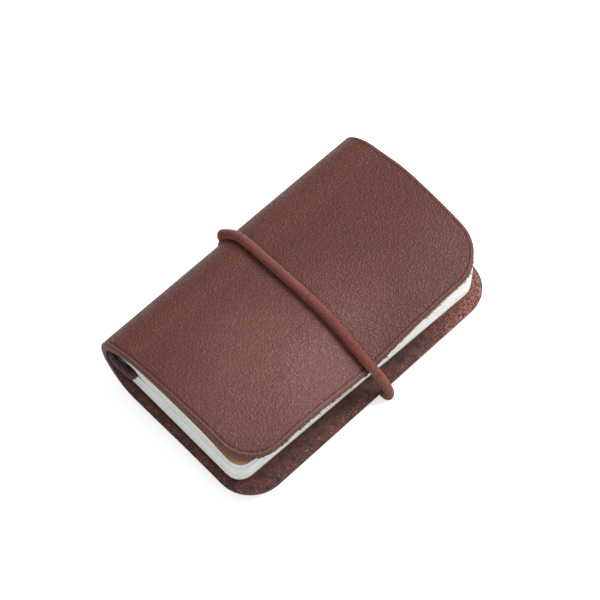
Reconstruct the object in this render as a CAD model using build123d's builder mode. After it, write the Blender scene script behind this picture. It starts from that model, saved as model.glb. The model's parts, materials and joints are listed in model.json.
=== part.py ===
"""Pocket notebook: a thick leather wrap cover, one folded booklet held by a binding
elastic in its centre fold, and an elastic loop that closes the covers.

Millimetres. +X runs from the spine to the fore edge, +Y from the tail to the head, +Z up.
The origin is under the middle of the closed notebook, on the surface that it lies on.
The leather is one piece, cut here into flat panels, a spine strip and the two creases
where it bends, because each of them moves differently when the cover opens.
"""

import os
from math import cos, radians, sin

from build123d import *

os.makedirs("parts", exist_ok=True)

# ---- Driving dimensions ----
COVER_LENGTH = 82.4        # back panel, tail to head
BACK_WIDTH = 51.8          # spine to the back panel's fore edge
FRONT_WIDTH = 49.8         # spine to the front panel's fore edge
CLOSED_THICKNESS = 16.8    # over both covers
LEATHER = 2.0
COVER_CORNER_R = 9.5
SPINE_DEPTH = 10.0         # how far the rounded spine reaches before the panels run flat
SPINE_STRIP = 6.0          # height of the strip that stays stiff between the creases
FRONT_TAIL_INSET = 1.4     # the front panel is cut a little short at the tail
SPINE_TAIL_INSET = 0.5
HEAD_INSET = 0.2

CORD_D = 2.4               # closure elastic
CORD_GAP = 0.05
CORD_HOLE_GAP = 0.15
CORD_SPINE_Y = 0.2         # the loop crosses the notebook slightly askew
CORD_FORE_Y = 1.5

BLOCK_LENGTH = 77.4        # booklet, tail to head
BLOCK_FORE = 47.3          # spine to the booklet's fore edge
BLOCK_CORNER_R = 4.0
BLOCK_SKEW = 1.5           # degrees that the booklet sits askew in its cover
KRAFT = 0.35
LEAF_GROUPS = 4            # groups of leaves on each side of the centre fold
GROUP_GAP = 0.05
BLOCK_CLEARANCE = 0.4      # booklet to leather
FOLD_DEPTH = 3.2           # how far the folded sheets bulge behind the fold axis
FOLD_START = 1.6           # the flat leaves begin this far in front of the fold axis

BINDING_D = 1.8            # binding elastic in the centre fold
BEND_R = 1.15
KNOT = (0.8, 2.0, 0.9)     # half sizes of the knots inside the spine
KNOT_PITCH = 4.6           # the binding knots sit either side of the closure's knot

# ---- Worked out from them ----
SPINE_X = -BACK_WIDTH / 2
BASE_Z = CORD_D + CORD_GAP                      # underside of the back cover
MID_Z = BASE_Z + CLOSED_THICKNESS / 2
TOP_Z = BASE_Z + CLOSED_THICKNESS
PANEL_X = SPINE_X + SPINE_DEPTH
FOLD_X = SPINE_X + CLOSED_THICKNESS / 2 + 0.1   # fold axis, level with the middle
BLOCK_HALF = CLOSED_THICKNESS / 2 - LEATHER - BLOCK_CLEARANCE
LEAVES_TOP = BLOCK_HALF - KRAFT - GROUP_GAP
GROUP_PITCH = LEAVES_TOP / LEAF_GROUPS
FOLD_CORE_R = BINDING_D / 2 + 0.1
CORD_R = CORD_D / 2
CORD_OUT = CORD_R + CORD_GAP                    # cord's centre to the leather it lies on

back_y = (-COVER_LENGTH / 2, COVER_LENGTH / 2)
spine_y = (back_y[0] + SPINE_TAIL_INSET, back_y[1] - HEAD_INSET)
front_y = (back_y[0] + FRONT_TAIL_INSET, back_y[1] - HEAD_INSET)


def save(builder, name):
    """Label a finished piece and write its STEP file."""
    builder.part.label = name
    export_step(builder.part, f"parts/{name}.step")


# ---- Leather cover ----
def panel_sketch(width, y_range):
    """A flat panel from the crease to the fore edge, its two fore corners rounded."""
    with BuildSketch(mode=Mode.PRIVATE) as outline:
        with Locations((PANEL_X, (y_range[0] + y_range[1]) / 2)):
            Rectangle(width - SPINE_DEPTH, y_range[1] - y_range[0], align=(Align.MIN, Align.CENTER))
        fillet(outline.vertices().group_by(Axis.X)[-1], radius=COVER_CORNER_R)
    return outline.sketch


with BuildPart() as back_cover:
    with BuildSketch(Plane.XY.offset(BASE_Z)):
        add(panel_sketch(BACK_WIDTH, back_y))
    extrude(amount=LEATHER)
    fillet(back_cover.faces().sort_by(Axis.Z)[0].edges().sort_by(Axis.X)[1:], radius=0.5)
save(back_cover, "back_cover")

with BuildPart() as front_cover:
    with BuildSketch(Plane.XY.offset(TOP_Z - LEATHER)):
        add(panel_sketch(FRONT_WIDTH, front_y))
    extrude(amount=LEATHER)
    fillet(front_cover.faces().sort_by(Axis.Z)[-1].edges().sort_by(Axis.X)[1:], radius=0.5)
save(front_cover, "front_cover")

cross_section = Plane((0, 0, MID_Z), x_dir=(1, 0, 0), z_dir=(0, -1, 0))


def spine_ring():
    """Section of the rounded leather spine: half of an elliptical ring, open to +X."""
    with BuildSketch(mode=Mode.PRIVATE) as ring:
        with Locations((PANEL_X, 0)):
            Ellipse(SPINE_DEPTH, CLOSED_THICKNESS / 2)
            Ellipse(SPINE_DEPTH - LEATHER, CLOSED_THICKNESS / 2 - LEATHER, mode=Mode.SUBTRACT)
            Rectangle(
                SPINE_DEPTH, CLOSED_THICKNESS, align=(Align.MAX, Align.CENTER), mode=Mode.INTERSECT
            )
    return ring.sketch


def leather_zone(low, high, y_range, name):
    """The part of the spine's section between two heights above its middle, over y_range."""
    with BuildPart() as zone:
        with BuildSketch(cross_section.offset(-y_range[1])):
            add(spine_ring())
            with Locations((PANEL_X, low)):
                Rectangle(
                    SPINE_DEPTH, high - low, align=(Align.MAX, Align.MIN), mode=Mode.INTERSECT
                )
        extrude(amount=y_range[1] - y_range[0])
        if name == "spine_strip":
            with BuildSketch(Plane((SPINE_X, 0, MID_Z), x_dir=(0, 1, 0), z_dir=(1, 0, 0))):
                with Locations((CORD_SPINE_Y, 0)):
                    SlotOverall(2 * CORD_HOLE_GAP + 2 * CORD_D, CORD_D + CORD_HOLE_GAP, rotation=90)
            extrude(amount=3 * LEATHER, both=True, mode=Mode.SUBTRACT)
    save(zone, name)


half_strip = SPINE_STRIP / 2
half_thick = CLOSED_THICKNESS / 2
leather_zone(-half_strip, half_strip, spine_y, "spine_strip")
leather_zone(half_strip, half_thick, front_y, "front_crease")
leather_zone(-half_thick, -half_strip, back_y, "back_crease")

# ---- Booklet, built on a plane that lies askew by BLOCK_SKEW about the fold ----
skew = radians(BLOCK_SKEW)
booklet_plane = Plane((FOLD_X, 0, MID_Z), x_dir=(cos(skew), -sin(skew), 0), z_dir=(0, 0, 1))
fold_section = Plane(
    (FOLD_X, 0, MID_Z), x_dir=(cos(skew), -sin(skew), 0), z_dir=(-sin(skew), -cos(skew), 0)
)
block_reach = SPINE_X + BLOCK_FORE - FOLD_X


def leaf_slab(low, high, name):
    """Leaves, or a cover sheet, between two heights from the middle, in front of the fold."""
    with BuildPart() as slab:
        with BuildSketch(booklet_plane.offset(low)) as outline:
            with Locations((FOLD_START, 0)):
                Rectangle(block_reach - FOLD_START, BLOCK_LENGTH, align=(Align.MIN, Align.CENTER))
            fillet(outline.vertices().group_by(Axis.X)[-1], radius=BLOCK_CORNER_R)
        extrude(amount=high - low)
    save(slab, name)


def fold_outline(depth, height):
    """Half an ellipse that bulges behind the fold axis, flat where the leaves begin."""
    reach = depth + FOLD_START
    with BuildSketch(mode=Mode.PRIVATE) as outline:
        with Locations((FOLD_START, 0)):
            Ellipse(reach, height)
            Rectangle(reach, 2 * height, align=(Align.MAX, Align.CENTER), mode=Mode.INTERSECT)
    return outline.sketch


def fold_ring(outer, inner, name):
    """One folded layer: outer and inner are (depth, height) of its two faces."""
    with BuildPart() as fold:
        with BuildSketch(fold_section.offset(-BLOCK_LENGTH / 2)):
            add(fold_outline(*outer))
            add(fold_outline(*inner), mode=Mode.SUBTRACT)
        extrude(amount=BLOCK_LENGTH)
    save(fold, name)


for group in range(LEAF_GROUPS):
    top = LEAVES_TOP - group * GROUP_PITCH
    bottom = top - GROUP_PITCH + GROUP_GAP
    leaf_slab(bottom, top, f"leaves_front_{group + 1}")
    leaf_slab(-top, -bottom, f"leaves_back_{group + 1}")

leaf_slab(BLOCK_HALF - KRAFT, BLOCK_HALF, "kraft_front")
leaf_slab(-BLOCK_HALF, -BLOCK_HALF + KRAFT, "kraft_back")

leaf_fold_depth = FOLD_DEPTH - KRAFT - GROUP_GAP
depth_pitch = (leaf_fold_depth - FOLD_CORE_R) / LEAF_GROUPS
for group in range(LEAF_GROUPS):
    outer = (leaf_fold_depth - group * depth_pitch, LEAVES_TOP - group * GROUP_PITCH)
    inner = (outer[0] - depth_pitch + GROUP_GAP, outer[1] - GROUP_PITCH + GROUP_GAP)
    if group == LEAF_GROUPS - 1:
        inner = (FOLD_CORE_R, outer[1] - 0.1)
    fold_ring(outer, inner, f"leaf_fold_{group + 1}")
fold_ring(
    (FOLD_DEPTH, BLOCK_HALF), (FOLD_DEPTH - KRAFT, BLOCK_HALF - KRAFT), "kraft_fold"
)

STITCHES = 5
STITCH_LENGTH = 7.0
STITCH_PITCH = 12.0
THREAD = 0.5
with BuildPart() as sewing_thread:
    with BuildSketch(booklet_plane.offset(-THREAD / 2)):
        with Locations((-FOLD_DEPTH - THREAD / 2 - GROUP_GAP, 0)):
            with GridLocations(0, STITCH_PITCH, 1, STITCHES):
                SlotOverall(STITCH_LENGTH, THREAD, rotation=90)
    extrude(amount=THREAD)
save(sewing_thread, "sewing_thread")


# ---- Binding elastic ----
def cord(points, radii, diameter, plane):
    """A round cord along straight runs joined by tangent arcs, in a flat plane."""
    with BuildPart() as tube:
        with BuildLine(plane) as route:
            FilletPolyline(*points, radius=radii)
        with BuildSketch(Plane(route.line @ 0, z_dir=route.line % 0)):
            Circle(diameter / 2)
        sweep()
    return tube


turn_y = BLOCK_LENGTH / 2 + BINDING_D / 2 + 0.15
core_half = turn_y - BEND_R - 0.1
with BuildPart() as binding_core:
    with BuildSketch(fold_section.offset(-core_half)):
        Circle(BINDING_D / 2)
    extrude(amount=2 * core_half)
save(binding_core, "binding_core")

inside_x = SPINE_X + LEATHER + BINDING_D / 2 + 0.05
knot_x = SPINE_X + LEATHER + KNOT[0] + 0.45
for side, name in ((-1, "binding_tail"), (1, "binding_head")):
    fold_end_x = FOLD_X + side * sin(skew) * turn_y
    route = [
        (fold_end_x, side * (core_half + 0.02)),
        (fold_end_x, side * turn_y),
        (inside_x, side * turn_y),
        (inside_x, CORD_SPINE_Y + side * (KNOT_PITCH + KNOT[1] + 0.05)),
    ]
    end = cord(route, BEND_R, BINDING_D, Plane.XY.offset(MID_Z))
    save(end, name)


def knot(centres, name):
    """Tight knots drawn up against the inside of the spine."""
    one = scale(Solid.make_sphere(1), by=KNOT)
    with BuildPart() as body:
        with Locations(*centres):
            add(one)
    save(body, name)


knot([(knot_x, CORD_SPINE_Y + side * KNOT_PITCH, MID_Z) for side in (-1, 1)], "binding_knots")

# ---- Closure elastic: one loop, knotted inside the spine's hole ----
loop_angle = (CORD_FORE_Y - CORD_SPINE_Y) / BACK_WIDTH
loop_plane = Plane((SPINE_X, CORD_SPINE_Y, MID_Z), x_dir=(1, loop_angle, 0), z_dir=(loop_angle, -1, 0))
rise = half_thick + CORD_OUT
hole_rise = CORD_R + CORD_GAP
swing_out = CORD_OUT + 0.6
shoulder = [(SPINE_DEPTH * 0.42, rise), (-swing_out, rise * 0.62)]
into_hole = [(-swing_out, hole_rise), (LEATHER + 0.35, hole_rise)]
front_route = [
    (BACK_WIDTH + swing_out, -half_thick + LEATHER + 0.6),
    (FRONT_WIDTH + CORD_OUT + 0.4, rise),
    *shoulder,
    *into_hole,
]
mirrored = [(x, -z) for x, z in shoulder + into_hole]
(flat_x, flat_z), (edge_x, edge_z) = mirrored[:2]


def on_back_shoulder(share):
    """Point on the straight run round the back shoulder, where the elastic bends to open."""
    return (flat_x + share * (edge_x - flat_x), flat_z + share * (edge_z - flat_z))


back_route = [
    (BACK_WIDTH + swing_out, -half_thick + LEATHER + 0.3),
    (BACK_WIDTH + swing_out, -rise),
    mirrored[0],
    on_back_shoulder(0.45),
]
spine_route = [on_back_shoulder(0.453), *mirrored[1:]]
loop_radii = [2.0, 6.5, 3.6, 1.3]
save(cord(front_route, loop_radii, CORD_D, loop_plane), "closure_elastic_front")
save(cord(back_route, loop_radii[:2], CORD_D, loop_plane), "closure_elastic_back")
save(cord(spine_route, loop_radii[2:], CORD_D, loop_plane), "closure_elastic_spine")
knot([(knot_x, CORD_SPINE_Y, MID_Z)], "closure_knot")
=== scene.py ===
"""Looks for a pocket notebook: a thick leather wrap cover round one folded booklet.

Lengths inside the classes are millimetres and become metres when a mesh is made. +X runs
from the spine to the fore edge, +Y from the tail to the head and +Z up, as in the frame.
"""

import json
import logging
import math
from dataclasses import dataclass
from enum import Enum
from typing import Any, Callable, Sequence

import bpy
import numpy as np
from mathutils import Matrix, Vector


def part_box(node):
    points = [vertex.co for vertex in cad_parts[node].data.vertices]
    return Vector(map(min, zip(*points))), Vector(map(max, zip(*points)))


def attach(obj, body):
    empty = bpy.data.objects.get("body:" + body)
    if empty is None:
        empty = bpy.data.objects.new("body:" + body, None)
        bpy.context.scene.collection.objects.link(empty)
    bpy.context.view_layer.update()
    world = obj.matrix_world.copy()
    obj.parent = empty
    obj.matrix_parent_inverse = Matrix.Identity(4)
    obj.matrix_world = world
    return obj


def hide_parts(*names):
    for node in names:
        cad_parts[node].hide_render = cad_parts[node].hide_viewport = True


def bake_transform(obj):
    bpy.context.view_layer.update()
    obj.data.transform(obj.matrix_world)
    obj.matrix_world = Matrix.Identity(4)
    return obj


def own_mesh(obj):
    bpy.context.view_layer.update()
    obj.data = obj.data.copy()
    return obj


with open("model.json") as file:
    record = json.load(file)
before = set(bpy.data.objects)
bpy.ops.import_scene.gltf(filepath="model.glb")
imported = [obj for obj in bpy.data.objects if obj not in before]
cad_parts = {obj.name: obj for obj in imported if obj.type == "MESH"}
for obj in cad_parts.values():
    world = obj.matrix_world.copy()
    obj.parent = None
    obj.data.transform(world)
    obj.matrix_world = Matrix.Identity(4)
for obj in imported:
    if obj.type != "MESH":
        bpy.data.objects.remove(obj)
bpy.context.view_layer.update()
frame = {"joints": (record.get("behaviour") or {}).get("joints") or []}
LOG = logging.getLogger("notebook")
MM = 0.001
Colour = tuple[float, float, float, float]


def tone(red: float, green: float, blue: float) -> Colour:
    """A linear colour from its 0 to 255 display values.

    Args:
        red, green, blue: display values.

    Returns:
        The colour as linear RGBA.
    """
    shares = (value / 255 for value in (red, green, blue))
    linear = [s / 12.92 if s <= 0.04045 else ((s + 0.055) / 1.055) ** 2.4 for s in shares]
    return (linear[0], linear[1], linear[2], 1.0)


def ease(value: np.ndarray) -> np.ndarray:
    """Smooth step from 0 to 1 of values that are clipped to that range."""
    share = np.clip(value, 0.0, 1.0)
    return share * share * (3 - 2 * share)


def flow(x: np.ndarray, places: Sequence[float], values: Sequence[float]) -> np.ndarray:
    """Values at x along a smooth line through known ones.

    Args:
        x: where to read the line; past its ends it stays level.
        places: x of the known values, rising.
        values: the known values.

    Returns:
        One value for each x.
    """
    xs, zs = np.array(places), np.array(values)
    slopes = np.gradient(zs, xs)
    x = np.clip(x, xs[0], xs[-1])
    k = np.clip(np.searchsorted(xs, x) - 1, 0, len(xs) - 2)
    width = xs[k + 1] - xs[k]
    t = (x - xs[k]) / width
    return (
        (2 * t**3 - 3 * t**2 + 1) * zs[k]
        + (t**3 - 2 * t**2 + t) * width * slopes[k]
        + (3 * t**2 - 2 * t**3) * zs[k + 1]
        + (t**3 - t**2) * width * slopes[k + 1]
    )


# ---------------------------------------------------------------- node trees
class Signal:
    """A number that flows through a shader tree. Arithmetic on it adds Math nodes."""

    def __init__(self, shader: "Shader", socket: Any) -> None:
        """Wrap a socket of a shader tree."""
        self.shader = shader
        self.socket = socket

    def _maths(self, operation: str, first: Any, second: Any) -> "Signal":
        """The result of one Math node."""
        return self.shader.signal("ShaderNodeMath", {"operation": operation}, {0: first, 1: second})

    def __add__(self, other: Any) -> "Signal":
        """Sum."""
        return self._maths("ADD", self, other)

    __radd__ = __add__

    def __sub__(self, other: Any) -> "Signal":
        """Difference."""
        return self._maths("SUBTRACT", self, other)

    def __rsub__(self, other: Any) -> "Signal":
        """Difference from a number."""
        return self._maths("SUBTRACT", other, self)

    def __mul__(self, other: Any) -> "Signal":
        """Product."""
        return self._maths("MULTIPLY", self, other)

    __rmul__ = __mul__

    def __pow__(self, other: Any) -> "Signal":
        """Power."""
        return self._maths("POWER", self, other)

    def span(self, low: float, high: float, to_low: float = 0.0, to_high: float = 1.0) -> "Signal":
        """Smooth step between two values.

        Args:
            low, high: values where the step starts and ends.
            to_low, to_high: results there.

        Returns:
            The stepped value.
        """
        return self.shader.signal(
            "ShaderNodeMapRange",
            {"interpolation_type": "SMOOTHSTEP"},
            {0: self, 1: low, 2: high, 3: to_low, 4: to_high},
        )


class NodeTree:
    """A node tree that is filled through one method."""

    tree: Any

    def node(
        self, kind: str, settings: dict[str, Any] | None = None, values: dict[Any, Any] | None = None
    ) -> Any:
        """Add a node, set its settings first, and then fill or link its sockets.

        Args:
            kind: node type.
            settings: properties of the node.
            values: sockets by name or index, each with a number, a colour or a link.

        Returns:
            The node.
        """
        made = self.tree.nodes.new(kind)
        for key, setting in (settings or {}).items():
            setattr(made, key, setting)
        for key, value in (values or {}).items():
            source = value.socket if isinstance(value, Signal) else value
            if isinstance(source, bpy.types.NodeSocket):
                self.tree.links.new(source, made.inputs[key])
            else:
                made.inputs[key].default_value = source
        return made


class Shader(NodeTree):
    """A material's node tree, with millimetre coordinates of the piece ready to use."""

    def __init__(self, name: str) -> None:
        """Start a material with one principled shader.

        Args:
            name: name of the material.
        """
        self.material = bpy.data.materials.new(name)
        self.material.use_nodes = True
        self.tree = self.material.node_tree
        self.surface = self.tree.nodes["Principled BSDF"]
        self.place = self.node("ShaderNodeTexCoord").outputs["Object"]
        self.mm = self.node(
            "ShaderNodeVectorMath", {"operation": "SCALE"}, {0: self.place, "Scale": 1000.0}
        ).outputs[0]

    def signal(self, kind: str, settings: dict[str, Any], values: dict[Any, Any]) -> Signal:
        """The first output of a new node as a number."""
        return Signal(self, self.node(kind, settings, values).outputs[0])

    def stretched(self, x: float, y: float, z: float) -> Any:
        """Millimetre coordinates scaled along each axis."""
        return self.node(
            "ShaderNodeVectorMath", {"operation": "MULTIPLY"}, {0: self.mm, 1: (x, y, z)}
        ).outputs[0]

    def noise(self, size: float, detail: float = 2.0, rough: float = 0.5, place: Any = None) -> Signal:
        """Noise whose features are about size millimetres across.

        Args:
            size: feature size.
            detail: octaves.
            rough: weight of the finer octaves.
            place: coordinates, the piece's own in millimetres unless given.

        Returns:
            A number around 0.5.
        """
        values = {"Vector": place or self.mm, "Scale": 1 / size, "Detail": detail, "Roughness": rough}
        return self.signal("ShaderNodeTexNoise", {}, values)

    def cells(self, size: float, place: Any = None, feature: str = "F1") -> Signal:
        """Distance pattern of irregular cells about size millimetres across."""
        values = {"Vector": place or self.mm, "Scale": 1 / size}
        return self.signal("ShaderNodeTexVoronoi", {"feature": feature}, values)

    def near(self, x: float, y: float, reach: float) -> Signal:
        """How close a point of the piece is to a place, seen from above.

        Args:
            x, y: the place.
            reach: distance where the result reaches 0.

        Returns:
            1 at the place, falling smoothly to 0.
        """
        flat = self.stretched(1, 1, 0)
        values = {0: flat, 1: (x, y, 0)}
        node = self.node("ShaderNodeVectorMath", {"operation": "DISTANCE"}, values)
        return Signal(self, node.outputs["Value"]).span(0.0, reach, 1.0, 0.0)

    def attribute(self, name: str) -> Signal:
        """A number stored on the mesh."""
        return Signal(self, self.node("ShaderNodeAttribute", {"attribute_name": name}).outputs["Fac"])

    def mix(self, share: Any, low: Any, high: Any) -> Any:
        """A colour between two colours."""
        made = self.node("ShaderNodeMix", {"data_type": "RGBA"}, {0: share, 6: low, 7: high})
        return made.outputs[2]

    def bump(self, height: Signal, depth: float, strength: float = 1.0) -> Any:
        """A normal tilted by a height from 0 to 1 that stands for depth millimetres."""
        values = {"Height": height, "Distance": depth * MM, "Strength": strength}
        return self.node("ShaderNodeBump", {}, values).outputs[0]

    def dress(self, **values: Any) -> bpy.types.Material:
        """Fill the principled shader's sockets and return the material.

        Args:
            **values: socket names with underscores for spaces.

        Returns:
            The finished material.
        """
        for key, value in values.items():
            socket = self.surface.inputs[key.replace("_", " ")]
            source = value.socket if isinstance(value, Signal) else value
            if isinstance(source, bpy.types.NodeSocket):
                self.tree.links.new(source, socket)
            else:
                socket.default_value = source
        return self.material


class Growth(NodeTree):
    """A Geometry Nodes tree with named inputs, put on one object and baked to a mesh."""

    def __init__(self, name: str, sizes: dict[str, float], finish: bpy.types.Material) -> None:
        """Start a tree.

        Args:
            name: tree name.
            sizes: named number inputs with their values; whole numbers become integers.
            finish: material that the tree sets on its result.
        """
        self.tree = bpy.data.node_groups.new(name, "GeometryNodeTree")
        self.sizes = sizes
        self.finish = finish
        self.tree.interface.new_socket("Geometry", in_out="INPUT", socket_type="NodeSocketGeometry")
        for key, value in sizes.items():
            kind = "NodeSocketInt" if isinstance(value, int) else "NodeSocketFloat"
            self.tree.interface.new_socket(key, in_out="INPUT", socket_type=kind)
        self.tree.interface.new_socket("Finish", in_out="INPUT", socket_type="NodeSocketMaterial")
        self.tree.interface.new_socket("Geometry", in_out="OUTPUT", socket_type="NodeSocketGeometry")
        self.start = self.tree.nodes.new("NodeGroupInput")
        self.end = self.tree.nodes.new("NodeGroupOutput")

    def size(self, name: str) -> Any:
        """The socket of a named input."""
        return self.start.outputs[name]

    def grow(self, host: bpy.types.Object, shape: Any, name: str) -> bpy.types.Object:
        """End the tree, run it on an object and keep only the plain mesh.

        Args:
            host: object whose geometry the tree starts from; it is removed.
            shape: socket of the finished geometry.
            name: name of the new object.

        Returns:
            The new mesh object.
        """
        real = self.node("GeometryNodeRealizeInstances", None, {0: shape}).outputs[0]
        values = {"Geometry": real, "Material": self.size("Finish")}
        dressed = self.node("GeometryNodeSetMaterial", None, values).outputs[0]
        self.tree.links.new(dressed, self.end.inputs[0])
        modifier = host.modifiers.new("growth", "NODES")
        modifier.node_group = self.tree
        known = {**self.sizes, "Finish": self.finish}
        for item in self.tree.interface.items_tree:
            if item.in_out == "INPUT" and item.name in known:
                modifier[item.identifier] = known[item.name]
        bpy.context.view_layer.update()
        graph = bpy.context.evaluated_depsgraph_get()
        mesh = bpy.data.meshes.new_from_object(host.evaluated_get(graph), depsgraph=graph)
        mesh.name = name
        made = bpy.data.objects.new(name, mesh)
        bpy.context.scene.collection.objects.link(made)
        host.modifiers.remove(modifier)
        bpy.data.objects.remove(host)
        return made


# ---------------------------------------------------------------- meshes
def solid(
    name: str,
    points: np.ndarray,
    faces: Sequence[Sequence[int]],
    finishes: Sequence[bpy.types.Material],
    slots: Sequence[int] | None = None,
    crease: float = 35.0,
    stored: dict[str, np.ndarray] | None = None,
) -> bpy.types.Object:
    """Make a mesh object from millimetre points.

    Args:
        name: name of the object.
        points: rows of x, y, z.
        faces: point indices of each face, counter-clockwise from outside.
        finishes: its materials.
        slots: material index of each face.
        crease: angle in degrees past which an edge stays sharp.
        stored: named numbers for each point.

    Returns:
        The object, linked to the scene.
    """
    mesh = bpy.data.meshes.new(name)
    mesh.from_pydata((np.asarray(points) * MM).tolist(), [], [list(face) for face in faces])
    for finish in finishes:
        mesh.materials.append(finish)
    if slots is not None:
        mesh.polygons.foreach_set("material_index", np.asarray(slots, np.int32))
    mesh.polygons.foreach_set("use_smooth", np.ones(len(mesh.polygons), bool))
    mesh.set_sharp_from_angle(angle=math.radians(crease))
    for key, values in (stored or {}).items():
        attribute = mesh.attributes.new(key, "FLOAT", "POINT")
        attribute.data.foreach_set("value", np.asarray(values, np.float32))
    mesh.update()
    made = bpy.data.objects.new(name, mesh)
    bpy.context.scene.collection.objects.link(made)
    return made


def border(rows: int, columns: int) -> np.ndarray:
    """Grid places all round the border, starting down the first column."""
    path = [(i, 0) for i in range(rows)] + [(rows - 1, j) for j in range(1, columns)]
    path += [(i, columns - 1) for i in range(rows - 2, -1, -1)]
    path += [(0, j) for j in range(columns - 2, 0, -1)]
    return np.array(path)


def shell(outer: np.ndarray, inner: np.ndarray, rim: Sequence[np.ndarray] = ()) -> tuple:
    """Close two point grids into one solid with walls on all four sides.

    Args:
        outer: grid of points, rows by columns by 3, seen from outside.
        inner: grid of the same size on the other side.
        rim: extra grids whose border points lie between the two, from outer to inner.

    Returns:
        Points, faces, and a zone for each face: 0 outer, 1 inner, 2 wall, 3 first-row wall.
    """
    rows, columns = outer.shape[:2]
    index = np.arange(rows * columns).reshape(rows, columns)
    points = [outer.reshape(-1, 3), inner.reshape(-1, 3)]
    a, b, c, d = index[:-1, :-1], index[1:, :-1], index[1:, 1:], index[:-1, 1:]
    top = np.stack([a, b, c, d], -1).reshape(-1, 4)
    under = np.stack([a, d, c, b], -1).reshape(-1, 4) + rows * columns
    faces = [*top.tolist(), *under.tolist()]
    zones = [0] * len(top) + [1] * len(under)
    cells = border(rows, columns)
    count = len(cells)
    layers = [index[cells[:, 0], cells[:, 1]]]
    start = 2 * rows * columns
    for grid in rim:
        points.append(grid[cells[:, 0], cells[:, 1]])
        layers.append(np.arange(start, start + count))
        start += count
    layers.append(layers[0] + rows * columns)
    first_row = rows + columns - 1 + rows - 2
    for near, far in zip(layers, layers[1:]):
        for k in range(count):
            n = (k + 1) % count
            faces.append([int(near[k]), int(far[k]), int(far[n]), int(near[n])])
            zones.append(3 if k >= first_row else 2)
    return np.concatenate(points), faces, zones


def reshape(piece: bpy.types.Object, change: Callable[[np.ndarray], np.ndarray]) -> None:
    """Move a mesh's points.

    Args:
        piece: the mesh object.
        change: gives new millimetre points for the old ones.
    """
    flat = np.zeros(len(piece.data.vertices) * 3)
    piece.data.vertices.foreach_get("co", flat)
    points = change(flat.reshape(-1, 3) / MM)
    piece.data.vertices.foreach_set("co", (points * MM).ravel())
    piece.data.update()


def joined(parts: Sequence[tuple]) -> tuple:
    """Several (points, faces) as one."""
    points, faces, start = [], [], 0
    for part in parts:
        points.append(part[0])
        faces += [[corner + start for corner in face] for face in part[1]]
        start += len(part[0])
    return np.concatenate(points), faces


# ---------------------------------------------------------------- finishes
@dataclass(frozen=True)
class GrainLeather:
    """Smooth full-grain leather, waxed: fine pebbles, cloudy dye, a burnished edge, a painted sheen
    patch and a painted highlight along the rounded edge.
    """

    dark: Colour = tone(48, 21, 16)
    dye: Colour = tone(74, 24, 11)
    faded_and_sheen: Colour = tone(102, 58, 50)
    ruddy: Colour = tone(92, 32, 10)
    burnt: Colour = tone(34, 15, 13)
    speck: Colour = tone(150, 96, 80)
    pebble: float = 0.42

    def material(self) -> bpy.types.Material:
        """Build the material."""
        leather = Shader("leather_grain")
        warp = leather.node(
            "ShaderNodeTexNoise", None, {"Vector": leather.mm, "Scale": 1.1, "Detail": 1.0}
        ).outputs["Color"]
        place = leather.node(
            "ShaderNodeMix",
            {"data_type": "VECTOR"},
            {0: 0.10, 4: leather.mm, 5: warp},
        ).outputs[1]
        pebbles = leather.cells(self.pebble, place, "SMOOTH_F1").span(0.05, 0.62)
        creases = leather.cells(self.pebble * 2.3, place, "DISTANCE_TO_EDGE").span(0.0, 0.16)
        pores = leather.noise(0.22, 2.0, 0.6)
        cloud = leather.noise(13.0, 3.0, 0.55)
        mottle = leather.noise(2.6, 3.0, 0.6)
        edge = leather.attribute("edge_mm")
        groove = leather.attribute("groove")
        wear = leather.attribute("spine_share")
        # Painted sheen: a paler, greyer patch round the tail half of the front stands in for the lamp's
        # broad reflection. The faded colour also serves the cloudy dye.
        painted_sheen = leather.near(9, -14, 36)
        base = leather.mix(painted_sheen * 0.85 + (cloud - 0.5) * 0.4, self.dye, self.faded_and_sheen)
        base = leather.mix(mottle.span(0.40, 0.75) * 0.25, base, self.dark)
        base = leather.mix(wear.span(0.1, 0.9) * (0.35 + cloud * 0.5), base, self.ruddy)
        base = leather.mix(pebbles * (0.42 + wear * 0.3), base, self.dark)
        specks = leather.noise(0.32, 2.0, 0.7).span(0.60, 0.74)
        base = leather.mix(specks * (1 - pebbles) * (0.55 + wear * 0.35), base, self.speck)
        base = leather.mix(groove * 0.55, base, self.burnt)
        # Painted highlight: a lighter band on the rounded shoulder between the crease line and the
        # edge.
        lip = edge.span(0.3, 0.55) * edge.span(0.72, 0.92, 1.0, 0.0)
        base = leather.mix(lip * 0.12, base, self.speck)
        rim = edge.span(0.05, 0.35, 1.0, 0.0)
        base = leather.mix(rim * 0.4, base, self.burnt)
        height = (1 - pebbles) * 0.6 + creases * 0.3 + pores * 0.25 + mottle * 0.25
        return leather.dress(
            Base_Color=base,
            Roughness=0.46 + pebbles * 0.2 + (cloud - 0.5) * 0.15,
            Normal=leather.bump(height, 0.15, 1.0),
            Specular_IOR_Level=0.4,
        )


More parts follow.
